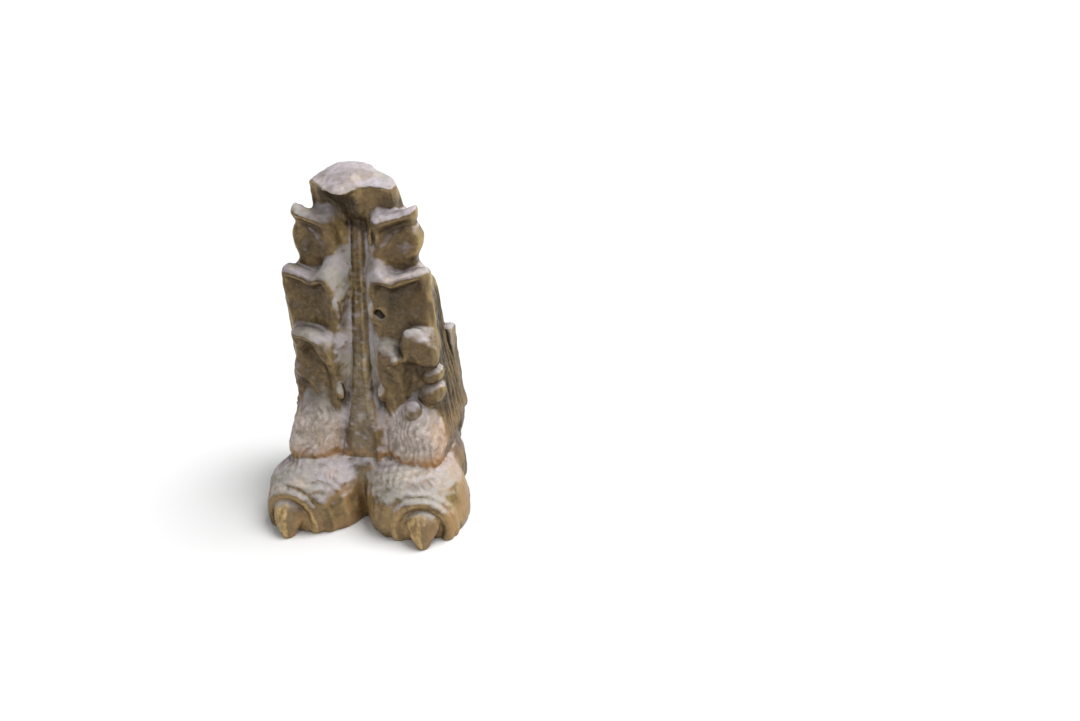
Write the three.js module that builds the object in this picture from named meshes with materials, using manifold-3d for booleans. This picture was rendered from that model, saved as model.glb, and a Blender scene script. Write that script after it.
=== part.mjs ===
// A cast bronze claw foot: two sheathed toes in front, a tuft of fur over each,
// three tiers of acanthus leaf on each side of a keel, and a waved cap on top.
// Millimetres, +Z up, the front faces -Y, and the origin is on the sole under the middle of the foot.
import * as THREE from "three";
import { mergeVertices } from "three/addons/utils/BufferGeometryUtils.js";
import Module from "manifold-3d";

const wasm = await Module();
wasm.setup();

// Levels above the floor
const CAP_TOP = 180; // front edge of the cap
const CAP_CROWN = 6.6; // how far the cap's top rises behind that edge
const CAP_DEPTH = 14; // height of the cap's side wall
const UPPER_LEAF_TOP = 166;
const MIDDLE_LEAF_TOP = 137;
const LOWER_LEAF_TOP = 105.5;
const TUFT_TOP = 66;
const TUFT_BOTTOM = 30;
const TOE_TOP = 35;
const PLATE_TOP = 91;

// Depths and widths
const FOOT_HALF_WIDTH = 58; // out to the side of a toe
const FOOT_DEPTH = 88.3; // from the flat back to the claw tips
const BACK_Y = 30; // flat back of the foot
const PLATE_THICKNESS = 5.5;
const PLATE_HALF_WIDTH = 42.5;
const PLATE_FOOT_HALF = 37; // half width where the plate meets the floor
const NOTCH_FRONT = 34; // from the origin forward to the notch between the toes
const CAP_HALF_WIDTH = 23;
const CAP_BEAK_Y = -1; // the cap's middle point
const CAP_SHOULDER_Y = 14.5; // the cap's front edge out at the sides
const CAP_WALL_Y = 18; // the wall at the back of the cove under the cap

// The keel leans back from the notch to the cap
const KEEL_FOOT_Z = 36;
const KEEL_FOOT_Y = -27;
const KEEL_HEAD_Z = 162;
const KEEL_HEAD_Y = 17;
const KEEL_HEAD_HALF = 1.7; // half width under the cap
const KEEL_MIDDLE_HALF = 3.8; // half width between the lower leaves
const KEEL_FAN_HALF = 11.5; // half width where it fans out over the notch
const KEEL_FAN_Z = 84; // where the fan starts to widen
const KEEL_PROUD = 4.8; // how far it stands out of the channel behind it
const FAN_FLUTES = 4;
const CHANNEL_HALF = 11.5; // half width of that channel at its mouth
const CHANNEL_FLOOR_HALF = 8.5;

// Toes
const TOE_HALF_WIDTH = 25;
const TOE_X = FOOT_HALF_WIDTH - TOE_HALF_WIDTH - 0.5;
const TOE_Y = BACK_Y - FOOT_DEPTH + 31.1;
const TOE_REACH_IN = 31.5; // how far the toe reaches from its middle towards the notch
const TOE_HALF_LENGTH = 23.5;
const TOE_HALF_HEIGHT = 27;
const TOE_SPLAY = THREE.MathUtils.degToRad(18);
const PAW_HALF_WIDTH = 15.2; // the paw behind the toe
const PAW_HALF_LENGTH = 29;

// Claws and the folds of skin over them
const CLAW_X = TOE_X + 6;
const CLAW_TIP_Y = BACK_Y - FOOT_DEPTH;
const CLAW_ROOT_Z = 17;
const CLAW_HALF_WIDTH = 11;
const FOLD_RADIUS = 14;
const FOLD_THICKNESS = 2.7;
const FOLD_STEP = 4.2; // from one fold to the next

// Fur tufts over the toes
const TUFT_INNER = 11; // the cheek beside the keel's fan
const TUFT_OUTER = 44.2;
const TUFT_FRONT_Y = -30.5;
const TUFT_RIDGES = 11;
const TUFT_RIDGE_DEPTH = 0.5;

// Fur down the flanks
const FLANK_FALL = 0.45; // how steeply the flank's shoulder falls towards the back
const FLANK_RIDGES = 5;
const FLANK_RIDGE_DEPTH = 1;

// Small leaf buds beside the keel
const BUD_RADIUS = 2.9;
const BUD_LENGTH = 6.5;

// The three leaf tiers, measured on the right side and mirrored to the left.
// The lips are the rounded lobes along a leaf's top edge, the scallops those down its outer edge.
// A bead is a rolled edge or a rib: [distance out, distance below the leaf's top], then its radii.
// A lobe is a plump ball on the outer edge: its distance out, distance below the top, and half height.
const LEAVES = [
  {
    top: UPPER_LEAF_TOP,
    bottom: MIDDLE_LEAF_TOP + 1,
    inner: CHANNEL_HALF - 0.5,
    outer: 34.2,
    faceY: 5,
    wrap: 4, // how far the outer edge curves back
    thickness: 14,
    scoop: 3.2,
    lips: [{ x: 23.5, half: 15, drop: 0, round: 5 }],
    scallops: [
      { drop: 2, half: 4, reach: 0.6 },
      { drop: 16, half: 9, reach: 3.2 },
    ],
    beads: [
      { path: [[34, 2.5], [26, 1.6], [17, 3], [12.6, 8], [12, 16], [14, 23]], radii: [1, 1.8, 2.2, 2, 1.7, 1] },
      { path: [[35.5, 9], [36.6, 15], [34.5, 23]], radii: [0.8, 1.6, 0.8] },
    ],
    lobes: [],
  },
  {
    top: MIDDLE_LEAF_TOP,
    bottom: LOWER_LEAF_TOP - 2.5,
    inner: CHANNEL_HALF - 2,
    outer: 40,
    faceY: -6,
    wrap: 5,
    thickness: 15,
    scoop: 4,
    lips: [
      { x: 14, half: 6.5, drop: 2, round: 5 },
      { x: 30.5, half: 13, drop: 0, round: 6 },
    ],
    scallops: [{ drop: 19, half: 17, reach: 1.6 }],
    beads: [
      { path: [[22, 6], [18.5, 3], [14, 3.5], [11.5, 8], [11, 15], [10.4, 24]], radii: [1, 2, 2.4, 2.2, 1.7, 1.1] },
      { path: [[24, 5.5], [31, 2.2], [38, 2.6], [40, 9], [40.4, 20]], radii: [1, 1.8, 2, 1.6, 0.9] },
    ],
    lobes: [],
  },
  {
    top: LOWER_LEAF_TOP,
    bottom: TUFT_TOP - 8,
    inner: CHANNEL_HALF + 1.5,
    outer: 40,
    faceY: -16,
    wrap: 7,
    thickness: 18,
    scoop: 4.2,
    lips: [
      { x: 19, half: 7.5, drop: 8, round: 6 },
      { x: 33.5, half: 10.5, drop: 0, round: 7 },
    ],
    scallops: [
      { drop: 8.5, half: 9, reach: 1.5 },
      { drop: 24.5, half: 8.5, reach: 3 },
      { drop: 37.5, half: 7, reach: 3 },
    ],
    beads: [
      { path: [[25, 12.5], [21, 9.5], [16.5, 11], [14.4, 18], [13.8, 31]], radii: [1, 2.2, 2.4, 1.8, 1] },
      { path: [[26.6, 9], [30, 3], [37, 2], [41, 8], [38.8, 15], [33.5, 18.5]], radii: [1, 2, 2.3, 2.2, 2, 1.1] },
      { path: [[38.5, 19.5], [32, 27.5], [25.5, 38.5], [22, 47]], radii: [1, 2, 2, 1] },
    ],
    lobes: [
      { x: 39.5, drop: 8.5, half: 7 },
      { x: 40, drop: 24, half: 6.5 },
      { x: 39, drop: 36.5, half: 7 },
    ],
  },
];

const { clamp, lerp, smoothstep } = THREE.MathUtils;

// Height on the keel's sloping line to the depth of its front edge.
function keelY(z) {
  return lerp(KEEL_FOOT_Y, KEEL_HEAD_Y, (z - KEEL_FOOT_Z) / (KEEL_HEAD_Z - KEEL_FOOT_Z));
}

// A value between stations [[z, value], ...] that rise in z.
function between(stations, z) {
  if (z <= stations[0][0]) return stations[0][1];
  for (let i = 1; i < stations.length; i++) {
    const [low, from] = stations[i - 1];
    const [high, to] = stations[i];
    if (z <= high) return lerp(from, to, (z - low) / (high - low));
  }
  return stations[stations.length - 1][1];
}

// A geometry as a solid, with its faces turned outwards.
function solid(geometry) {
  const bare = geometry.index ? geometry.toNonIndexed() : geometry.clone();
  bare.deleteAttribute("normal");
  bare.deleteAttribute("uv");
  const merged = mergeVertices(bare, 1e-4);
  const points = merged.getAttribute("position").array;
  const triangles = new Uint32Array(merged.index.array);
  const a = new THREE.Vector3();
  const b = new THREE.Vector3();
  const c = new THREE.Vector3();
  let volume = 0;
  for (let i = 0; i < triangles.length; i += 3) {
    a.fromArray(points, triangles[i] * 3);
    b.fromArray(points, triangles[i + 1] * 3);
    c.fromArray(points, triangles[i + 2] * 3);
    volume += a.dot(b.cross(c));
  }
  if (volume < 0)
    for (let i = 0; i < triangles.length; i += 3)
      [triangles[i + 1], triangles[i + 2]] = [triangles[i + 2], triangles[i + 1]];
  return new wasm.Manifold(
    new wasm.Mesh({ numProp: 3, vertProperties: new Float32Array(points), triVerts: triangles }),
  );
}

// The same shape on the other side of the foot.
function mirrored(geometry) {
  return geometry.clone().scale(-1, 1, 1);
}

// A right-hand shape and its mirror image.
function pair(geometry) {
  return [solid(geometry), solid(mirrored(geometry))];
}

// Moves each vertex of a geometry to where place(point) puts it.
function shaped(geometry, place) {
  const position = geometry.getAttribute("position");
  const point = new THREE.Vector3();
  for (let i = 0; i < position.count; i++) {
    place(point.fromBufferAttribute(position, i));
    position.setXYZ(i, point.x, point.y, point.z);
  }
  return geometry;
}

// The direction a ring of points faces.
function facing(ring) {
  const normal = new THREE.Vector3();
  ring.forEach((point, i) => {
    normal.add(new THREE.Vector3().crossVectors(point, ring[(i + 1) % ring.length]));
  });
  return normal.normalize();
}

// A closed skin over rings of points. Every ring has the same number of points.
function loft(rings) {
  const count = rings[0].length;
  const index = [];
  for (let ring = 0; ring < rings.length - 1; ring++)
    for (let i = 0; i < count; i++) {
      const a = ring * count + i;
      const b = ring * count + ((i + 1) % count);
      index.push(a, b, b + count, a, b + count, a + count);
    }
  const close = (ring, start, flip) => {
    const turn = new THREE.Quaternion().setFromUnitVectors(facing(ring), new THREE.Vector3(0, 0, 1));
    const flat = ring.map((point) => point.clone().applyQuaternion(turn));
    const outline = flat.map((point) => new THREE.Vector2(point.x, point.y));
    for (const [a, b, c] of THREE.ShapeUtils.triangulateShape(outline, []))
      index.push(start + a, start + (flip ? c : b), start + (flip ? b : c));
  };
  close(rings[0], 0, true);
  close(rings[rings.length - 1], (rings.length - 1) * count, false);
  const geometry = new THREE.BufferGeometry();
  geometry.setFromPoints(rings.flat());
  geometry.setIndex(index);
  return geometry;
}

// A curved slab: a grid of points on its face, and the same grid moved back and drawn in.
function slab(columns, rows, face, thickness) {
  const drawnIn = 0.84;
  const rings = [];
  for (let row = 0; row <= rows; row++) {
    const front = [];
    for (let column = 0; column <= columns; column++) front.push(face(column / columns, row / rows));
    const back = front.map((p) => new THREE.Vector3(p.x * drawnIn, p.y + thickness, p.z)).reverse();
    rings.push([...front, ...back]);
  }
  return loft(rings);
}

// An ellipsoid with its poles up and down.
function blob(centre, radii, around = 16, along = 10) {
  return new THREE.SphereGeometry(1, around, along)
    .rotateX(Math.PI / 2)
    .scale(...radii)
    .translate(...centre);
}

// The stem behind the leaves: two columns with the keel's channel between them.
function stem() {
  const foot = PLATE_FOOT_HALF - 3;
  const backHalf = [
    [0, foot],
    [TOE_TOP, PLATE_HALF_WIDTH - 1.5],
    [TUFT_TOP, PLATE_HALF_WIDTH - 1.5],
    [PLATE_TOP, PLATE_HALF_WIDTH - 6.8],
    [MIDDLE_LEAF_TOP - 6, PLATE_HALF_WIDTH - 8.5],
    [MIDDLE_LEAF_TOP - 1, CAP_HALF_WIDTH + 3],
    [MIDDLE_LEAF_TOP + 2, CAP_HALF_WIDTH + 1],
    [UPPER_LEAF_TOP, CAP_HALF_WIDTH - 3],
  ];
  const frontHalf = [
    [0, foot],
    [TOE_TOP, PLATE_HALF_WIDTH - 0.5],
    [LOWER_LEAF_TOP, PLATE_HALF_WIDTH - 1.5],
    [MIDDLE_LEAF_TOP - 1, 37],
    [MIDDLE_LEAF_TOP + 2, 31.5],
    [UPPER_LEAF_TOP, CAP_HALF_WIDTH],
    [UPPER_LEAF_TOP + 4, CAP_HALF_WIDTH - 3],
  ];
  // how far the columns' faces stand in front of the keel's sloping line
  const lead = [
    [TOE_TOP, -4],
    [TUFT_TOP - 5, -6],
    [PLATE_TOP, -2.5],
    [LOWER_LEAF_TOP, 1.8],
    [MIDDLE_LEAF_TOP, 1],
    [UPPER_LEAF_TOP, 3],
  ];
  const halfway = (a, b) => (a + b) / 2;
  const levels = [0, TOE_TOP / 2, TOE_TOP, halfway(TOE_TOP, TUFT_TOP), TUFT_TOP];
  levels.push(halfway(TUFT_TOP, PLATE_TOP), PLATE_TOP, LOWER_LEAF_TOP);
  levels.push(MIDDLE_LEAF_TOP - 16, MIDDLE_LEAF_TOP - 6, MIDDLE_LEAF_TOP - 1, MIDDLE_LEAF_TOP + 2);
  levels.push(halfway(MIDDLE_LEAF_TOP, UPPER_LEAF_TOP), UPPER_LEAF_TOP, UPPER_LEAF_TOP + 4);
  const rings = levels.map((z) => {
    const line = keelY(Math.max(z, KEEL_FOOT_Z));
    const column = line - between(lead, z);
    const floor = line + KEEL_PROUD;
    const back = between(backHalf, z);
    const front = between(frontHalf, z);
    const half = [
      [0, floor],
      [CHANNEL_FLOOR_HALF, floor],
      [CHANNEL_HALF, lerp(column, floor, 0.3)],
      [CHANNEL_HALF + 2.5, column],
      [Math.max(front - 9, CHANNEL_HALF + 3.5), column],
      [front - 2.5, column + 3],
    ];
    const fur = smoothstep(z, TOE_TOP, TOE_TOP + 10) * (1 - smoothstep(z, PLATE_TOP, MIDDLE_LEAF_TOP));
    for (let i = 0; i <= 2 * FLANK_RIDGES; i++) {
      const t = i / (2 * FLANK_RIDGES);
      const inward = (i % 2) * FLANK_RIDGE_DEPTH * fur;
      half.push([lerp(front, back, t) - inward, lerp(column + 9, BACK_Y, t)]);
    }
    const left = half
      .slice(1)
      .reverse()
      .map(([x, y]) => [-x, y]);
    const fall = FLANK_FALL * smoothstep(z, PLATE_TOP, MIDDLE_LEAF_TOP - 16);
    return [...half, ...left].map(([x, y]) => new THREE.Vector3(x, y, z - fall * Math.max(0, y - 8)));
  });
  return solid(loft(rings));
}

// How high the rounded lobes of a leaf's top edge reach at x.
function lipHeight({ top, lips }, x) {
  const heights = lips.map(({ x: middle, half, drop, round }) => {
    const t = (x - middle) / half;
    const fall = Math.abs(t) < 1 ? round * (1 - Math.sqrt(1 - t * t)) : round + 4 * (Math.abs(t) - 1);
    return top - drop - fall;
  });
  return Math.max(...heights);
}

// How far the scallops of a leaf's outer edge reach out at z.
function scallopReach({ top, scallops }, z) {
  const reaches = scallops.map(({ drop, half, reach }) => {
    const t = (z - top + drop) / half;
    return Math.abs(t) < 1 ? reach * Math.sqrt(1 - t * t) : 0;
  });
  return Math.max(...reaches);
}

// How far back the scooped face of a leaf lies at x and z.
function leafDepth(shape, x, z) {
  const { bottom, inner, outer, faceY, wrap, scoop } = shape;
  const u = clamp((x - inner) / (outer - inner), 0, 1);
  const rise = clamp((z - bottom) / (lipHeight(shape, x) - bottom), 0, 1);
  const hollow = scoop * Math.sin(Math.PI * u) * Math.sin(Math.PI * Math.min(1, rise * 1.08));
  return faceY + wrap * u * u + hollow;
}

// One acanthus leaf: a scooped face with a rolled lip and a ledge on top.
function leaf(shape) {
  const roll = 1.2; // how far the lip comes forward
  const face = (u, v) => {
    const flat = lerp(shape.inner, shape.outer, u);
    const top = lipHeight(shape, flat);
    const rise = 1 - (1 - v) ** 1.3;
    const z = lerp(shape.bottom, top, rise);
    const x = flat + scallopReach(shape, z) * smoothstep(u, 0.55, 1);
    const lip = roll * smoothstep(rise, 0.6, 0.9) - 3.6 * smoothstep(rise, 0.9, 1);
    const edge = 2.5 * smoothstep(Math.abs(2 * u - 1), 0.85, 1);
    return new THREE.Vector3(x, leafDepth(shape, flat, z) - lip + edge, z);
  };
  const edges = shape.beads.flatMap(({ path, radii }) => {
    const points = path.map(([x, drop]) => {
      const z = shape.top - drop;
      return new THREE.Vector3(x, leafDepth(shape, x, z), z);
    });
    return pair(bead(points, radii));
  });
  const lobes = shape.lobes.flatMap(({ x, drop, half }) =>
    pair(blob([x, shape.faceY + 0.6 * shape.wrap + 4, shape.top - drop], [4.8, 5.6, half], 10, 6)),
  );
  return [...pair(slab(11, 7, face, shape.thickness)), ...edges, ...lobes];
}

// A rounded bead that follows a path and swells and thins with its radii.
function bead(points, radii) {
  const around = 6;
  const steps = 2 * points.length - 3;
  const path = new THREE.CatmullRomCurve3(points);
  const sizes = radii.map((radius, i) => [i / (radii.length - 1), radius]);
  const rings = [];
  for (let i = 0; i <= steps; i++) {
    const centre = path.getPoint(i / steps);
    const across = path.getTangent(i / steps).cross(new THREE.Vector3(0, 1, 0)).normalize();
    const out = new THREE.Vector3().crossVectors(across, path.getTangent(i / steps));
    const radius = between(sizes, i / steps);
    const ring = [];
    for (let k = 0; k < around; k++) {
      const angle = (2 * Math.PI * k) / around;
      ring.push(
        centre
          .clone()
          .addScaledVector(across, radius * Math.cos(angle))
          .addScaledVector(out, radius * Math.sin(angle)),
      );
    }
    rings.push(ring);
  }
  return loft(rings);
}

// A small drop-shaped bud beside the keel.
function bud(x, z) {
  return pair(blob([x, keelY(z) + 1.5, z], [BUD_RADIUS, 4, BUD_LENGTH], 8, 6));
}

// The keel: a flat-faced rib that widens into a fluted fan over the notch.
function keel() {
  const halves = [
    [KEEL_FOOT_Z, KEEL_FAN_HALF],
    [50, 8],
    [64, 5.6],
    [KEEL_FAN_Z, KEEL_MIDDLE_HALF],
    [122, 3.2],
    [KEEL_HEAD_Z, KEEL_HEAD_HALF],
  ];
  const steps = 4 * FAN_FLUTES;
  const rings = [KEEL_FOOT_Z - 5, ...halves.map(([z]) => z), KEEL_HEAD_Z + 6].map((z) => {
    const half = between(halves, z);
    const front = keelY(z);
    const depth = 0.9 * smoothstep(-z, -KEEL_FAN_Z, -KEEL_FOOT_Z);
    const points = [];
    for (let i = 0; i <= steps; i++) {
      const t = i / steps;
      const flute = depth * (0.5 - 0.5 * Math.cos(2 * Math.PI * FAN_FLUTES * t));
      const round = 0.12 * half * (2 * t - 1) ** 2;
      points.push([lerp(-half, half, t), front + flute + round]);
    }
    points.push([half + 1, front + KEEL_PROUD + 5], [-half - 1, front + KEEL_PROUD + 5]);
    return points.map(([x, y]) => new THREE.Vector3(x, y, z));
  });
  return solid(loft(rings));
}

// The cap: a beaked front edge over a deep cove, side walls, and a crowned top.
function cap() {
  const steps = 18;
  const middle = BACK_Y - 7; // the crown's highest point
  // The front edge in plan: a beak in the middle, a hollow each side, then straight shoulders.
  const beak = (x) => {
    const t = Math.min(1, Math.abs(x) / (0.66 * CAP_HALF_WIDTH));
    return lerp(CAP_BEAK_Y, CAP_SHOULDER_Y, 0.5 - 0.5 * Math.cos(Math.PI * t));
  };
  // cove is the share of the way from the front edge back to the cove's wall.
  // round 0 keeps the beak, and round 1 is a plain bow.
  const ring = (z, grow, cove, round) => {
    const points = [];
    for (let i = 0; i <= steps; i++) {
      const x = lerp(-CAP_HALF_WIDTH, CAP_HALF_WIDTH, i / steps);
      const bow = lerp(CAP_BEAK_Y, CAP_SHOULDER_Y, (x / CAP_HALF_WIDTH) ** 2);
      const front = lerp(beak(x), bow, round);
      points.push([x, lerp(front, CAP_WALL_Y, cove)]);
    }
    for (let i = 1; i < steps; i++) {
      const angle = (Math.PI * i) / steps;
      points.push([
        CAP_HALF_WIDTH * Math.cos(angle),
        lerp(CAP_SHOULDER_Y + 4, BACK_Y + 3, Math.sin(angle) ** 0.85),
      ]);
    }
    return points.map(([x, y]) => new THREE.Vector3(x * grow, lerp(middle, y, grow), z));
  };
  const rings = [
    ring(CAP_TOP - CAP_DEPTH - 8, 0.9, 1, 0),
    ring(CAP_TOP - CAP_DEPTH, 1, 0.96, 0),
    ring(CAP_TOP - 0.6 * CAP_DEPTH, 1, 0.84, 0),
    ring(CAP_TOP - 0.28 * CAP_DEPTH, 1, 0.52, 0),
    ring(CAP_TOP - 1, 1.01, 0.06, 0),
    ring(CAP_TOP, 0.985, 0.02, 0),
    ring(CAP_TOP + 0.3 * CAP_CROWN, 0.82, 0, 0.35),
    ring(CAP_TOP + 0.7 * CAP_CROWN, 0.56, 0, 0.75),
    ring(CAP_TOP + 0.94 * CAP_CROWN, 0.28, 0, 1),
    ring(CAP_TOP + CAP_CROWN, 0.08, 0, 1),
  ];
  return solid(loft(rings));
}

// Pushes a unit ball's vertices outwards towards a box, so that it stays plump near its ends.
function plump(p, power) {
  const size = Math.abs(p.x) ** power + Math.abs(p.y) ** power + Math.abs(p.z) ** power;
  p.multiplyScalar(size ** (-1 / power));
}

// A toe: a plump pad whose top slopes down to the front, with the paw behind it.
function toe() {
  const pad = new THREE.SphereGeometry(1, 20, 12).rotateX(Math.PI / 2);
  shaped(pad, (p) => {
    plump(p, 2.5);
    const forward = smoothstep(-p.y, -0.1, 1);
    const height = TOE_HALF_HEIGHT * (1 - 0.14 * forward - 0.09 * Math.max(0, p.x));
    const inner = TOE_REACH_IN * Math.max(0, -p.x);
    const drawnBack = 0.14 * Math.max(0, inner - 4);
    p.set(p.x > 0 ? p.x * TOE_HALF_WIDTH : -inner, p.y * TOE_HALF_LENGTH + drawnBack, p.z * height);
  });
  pad.rotateZ(TOE_SPLAY).translate(TOE_X, TOE_Y, TOE_TOP - TOE_HALF_HEIGHT);
  const paw = new THREE.SphereGeometry(1, 14, 9).rotateX(Math.PI / 2);
  shaped(paw, (p) => {
    plump(p, 2.4);
    p.set(p.x * PAW_HALF_WIDTH, p.y * PAW_HALF_LENGTH, p.z * 22);
  });
  paw.translate(TOE_X - 1.5, -2, TOE_TOP - 24);
  return [...pair(pad), ...pair(paw)];
}

// The web between the toes, from the notch up to the keel's fan.
function web() {
  const outline = new THREE.Shape();
  outline.moveTo(-NOTCH_FRONT, 0);
  outline.quadraticCurveTo(-NOTCH_FRONT + 2, 26, KEEL_FOOT_Y + 1, KEEL_FOOT_Z);
  outline.lineTo(BACK_Y, KEEL_FOOT_Z);
  outline.lineTo(BACK_Y, 0);
  const width = 0.9 * TOE_X;
  const block = new THREE.ExtrudeGeometry(outline, {
    depth: 2 * width,
    bevelEnabled: false,
    curveSegments: 6,
  });
  // The outline's own plane becomes the plane of depth and height.
  block.applyMatrix4(new THREE.Matrix4().set(0, 0, 1, -width, 1, 0, 0, 0, 0, 1, 0, 0, 0, 0, 0, 1));
  return solid(block);
}

// A claw: a ridged horn, broad where it leaves the toe and pointed where it meets the floor.
function claw() {
  const spine = new THREE.QuadraticBezierCurve3(
    new THREE.Vector3(CLAW_X - 1, CLAW_TIP_Y + 19, CLAW_ROOT_Z),
    new THREE.Vector3(CLAW_X, CLAW_TIP_Y + 2.5, CLAW_ROOT_Z + 3),
    new THREE.Vector3(CLAW_X + 0.5, CLAW_TIP_Y + 1.4, -1),
  );
  // Around the horn: the sharp ridge in front, then flat flanks to a round underside.
  const section = [
    [0, 1.05],
    [0.3, 0.72],
    [0.85, 0.25],
    [1, -0.3],
    [0.6, -0.85],
    [0, -1],
  ];
  const around = [...section, ...section.slice(1, -1).reverse().map(([x, y]) => [-x, y])];
  const steps = 8;
  const rings = [];
  for (let i = 0; i <= steps; i++) {
    const t = i / steps;
    const centre = spine.getPoint(t);
    const across = new THREE.Vector3(1, 0, 0);
    const out = new THREE.Vector3().crossVectors(across, spine.getTangent(t));
    const half = lerp(CLAW_HALF_WIDTH, 2.2, t ** 1.5);
    rings.push(
      around.map(([x, y]) =>
        centre.clone().addScaledVector(across, half * x).addScaledVector(out, 0.62 * half * y),
      ),
    );
  }
  return pair(loft(rings));
}

// The folds of skin that arch over a claw.
function folds() {
  return [0, 1].flatMap((step) => {
    const radius = FOLD_RADIUS + 0.8 * step * FOLD_STEP;
    const ring = new THREE.TorusGeometry(radius, FOLD_THICKNESS, 6, 18);
    ring.scale(1, 1.05, 1);
    ring.rotateX(Math.PI / 2 - 0.08);
    ring.rotateZ(TOE_SPLAY / 2);
    ring.translate(CLAW_X - 2 - step, CLAW_TIP_Y + 9.8 + 0.8 * step * FOLD_STEP, 8 + step);
    return pair(ring);
  });
}

// The fur tuft that hangs over a toe: a rounded block whose front leans back, combed by ridges.
function tuft() {
  const around = 3 * TUFT_RIDGES;
  const height = TUFT_TOP - TUFT_BOTTOM;
  // [height, how far the sides draw in, how far the front draws back]
  const levels = [
    [-0.06, 9, 7],
    [-0.02, 3.5, 2],
    [0.1, 0.6, 0],
    [0.35, 0, 1],
    [0.6, 2, 5],
    [0.85, 5.5, 11],
    [1.08, 9.5, 18],
  ];
  const rings = levels.map(([share, inward, back], level) => {
    const half = (TUFT_OUTER - TUFT_INNER) / 2 - inward;
    const middle = (TUFT_OUTER + TUFT_INNER) / 2 - 0.3 * inward;
    const front = TUFT_FRONT_Y + back;
    const ring = [];
    for (let i = 0; i < around; i++) {
      const angle = (2 * Math.PI * i) / around;
      const p = new THREE.Vector3(Math.sin(angle), -Math.cos(angle), 0);
      plump(p, 2.7);
      const comb = TUFT_RIDGE_DEPTH * (((i + level) % 3) - 1);
      ring.push(
        new THREE.Vector3(
          middle + p.x * (half + comb),
          lerp(front, 4, (p.y + 1) / 2) + (p.y < 0 ? -comb : 0) + 3 * Math.max(0, -p.x) ** 2,
          TUFT_BOTTOM + share * height,
        ),
      );
    }
    return ring;
  });
  return pair(loft(rings));
}

// The swelling of fur on the flank, where it ends above the paw.
function flankTuft() {
  return pair(blob([PLATE_HALF_WIDTH - 7.5, 10, TOE_TOP + 6], [10, 17, 15], 14, 9));
}

// The back plate, wider than the stem, its foot narrowed to stay inside the paw.
function backPlate() {
  const outline = new THREE.Shape();
  const w = PLATE_HALF_WIDTH;
  const half = [
    [PLATE_FOOT_HALF, 0],
    [PLATE_FOOT_HALF + 0.5, TOE_TOP / 3],
    [w, TOE_TOP],
    [w, PLATE_TOP - 1.5],
    [w - 1.5, PLATE_TOP],
  ];
  outline.moveTo(-half[0][0], 0);
  for (const [x, z] of half) outline.lineTo(x, z);
  for (const [x, z] of half.slice(1).reverse()) outline.lineTo(-x, z);
  const plate = new THREE.ExtrudeGeometry(outline, { depth: PLATE_THICKNESS, bevelEnabled: false });
  return solid(plate.rotateX(Math.PI / 2).translate(0, BACK_Y, 0));
}

// Everything below the floor or behind the flat back is cut away.
function trimBox() {
  const width = 4 * PLATE_HALF_WIDTH;
  const height = CAP_TOP + 2 * CAP_CROWN;
  const depth = BACK_Y - 2 * CLAW_TIP_Y;
  const box = new THREE.BoxGeometry(width, depth, height);
  return solid(box.translate(0, BACK_Y - depth / 2, height / 2));
}

const pieces = [
  stem(),
  web(),
  keel(),
  cap(),
  backPlate(),
  ...toe(),
  ...tuft(),
  ...flankTuft(),
  ...LEAVES.flatMap(leaf),
  ...bud(CHANNEL_HALF - 1.1, MIDDLE_LEAF_TOP + 10),
  ...bud(CHANNEL_HALF - 1.5, LOWER_LEAF_TOP + 8.5),
  ...bud(CHANNEL_HALF + 0.3, TUFT_TOP + 3),
  ...bud(TUFT_INNER + 15, TUFT_TOP - 10),
  ...claw(),
  ...folds(),
];

const joined = pieces.reduce((sum, piece) => sum.add(piece)).intersect(trimBox());
// The casting is solid, so a pocket that its pieces happen to seal between them is filled.
const skin = joined.decompose().reduce((a, b) => (a.volume() > b.volume() ? a : b));
const mesh = skin.getMesh();
const geometry = new THREE.BufferGeometry();
geometry.setAttribute("position", new THREE.BufferAttribute(mesh.vertProperties, mesh.numProp));
geometry.setIndex(new THREE.BufferAttribute(mesh.triVerts, 1));
geometry.computeVertexNormals();

const bronze = new THREE.MeshStandardMaterial({ color: 0x6f5f48, roughness: 0.55, metalness: 0.85 });
const foot = new THREE.Mesh(geometry, bronze);
foot.name = "claw_foot";

const group = new THREE.Group();
group.add(foot);

export default group;
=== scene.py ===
import math

import bpy
import numpy as np
from mathutils import Matrix, Vector


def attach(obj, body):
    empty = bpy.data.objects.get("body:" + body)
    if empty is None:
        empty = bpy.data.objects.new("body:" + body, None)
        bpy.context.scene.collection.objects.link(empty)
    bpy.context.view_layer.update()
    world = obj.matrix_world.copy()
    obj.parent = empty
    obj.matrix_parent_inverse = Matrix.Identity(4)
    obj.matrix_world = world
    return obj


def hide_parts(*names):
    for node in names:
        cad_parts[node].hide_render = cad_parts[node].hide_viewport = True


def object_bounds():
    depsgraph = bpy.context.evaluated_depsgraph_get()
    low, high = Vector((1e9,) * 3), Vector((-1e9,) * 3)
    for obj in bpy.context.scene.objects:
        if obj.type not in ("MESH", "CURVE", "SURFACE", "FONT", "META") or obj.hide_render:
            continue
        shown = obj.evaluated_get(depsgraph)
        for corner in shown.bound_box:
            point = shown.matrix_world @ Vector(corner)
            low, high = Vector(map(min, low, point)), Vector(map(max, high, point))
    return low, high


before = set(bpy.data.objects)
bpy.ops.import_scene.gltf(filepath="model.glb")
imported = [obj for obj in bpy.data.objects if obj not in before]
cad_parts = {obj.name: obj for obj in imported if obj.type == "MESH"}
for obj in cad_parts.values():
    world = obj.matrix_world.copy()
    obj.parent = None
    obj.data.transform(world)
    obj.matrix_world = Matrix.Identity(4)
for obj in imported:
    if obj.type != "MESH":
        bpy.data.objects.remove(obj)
cad_low, cad_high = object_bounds()

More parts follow.
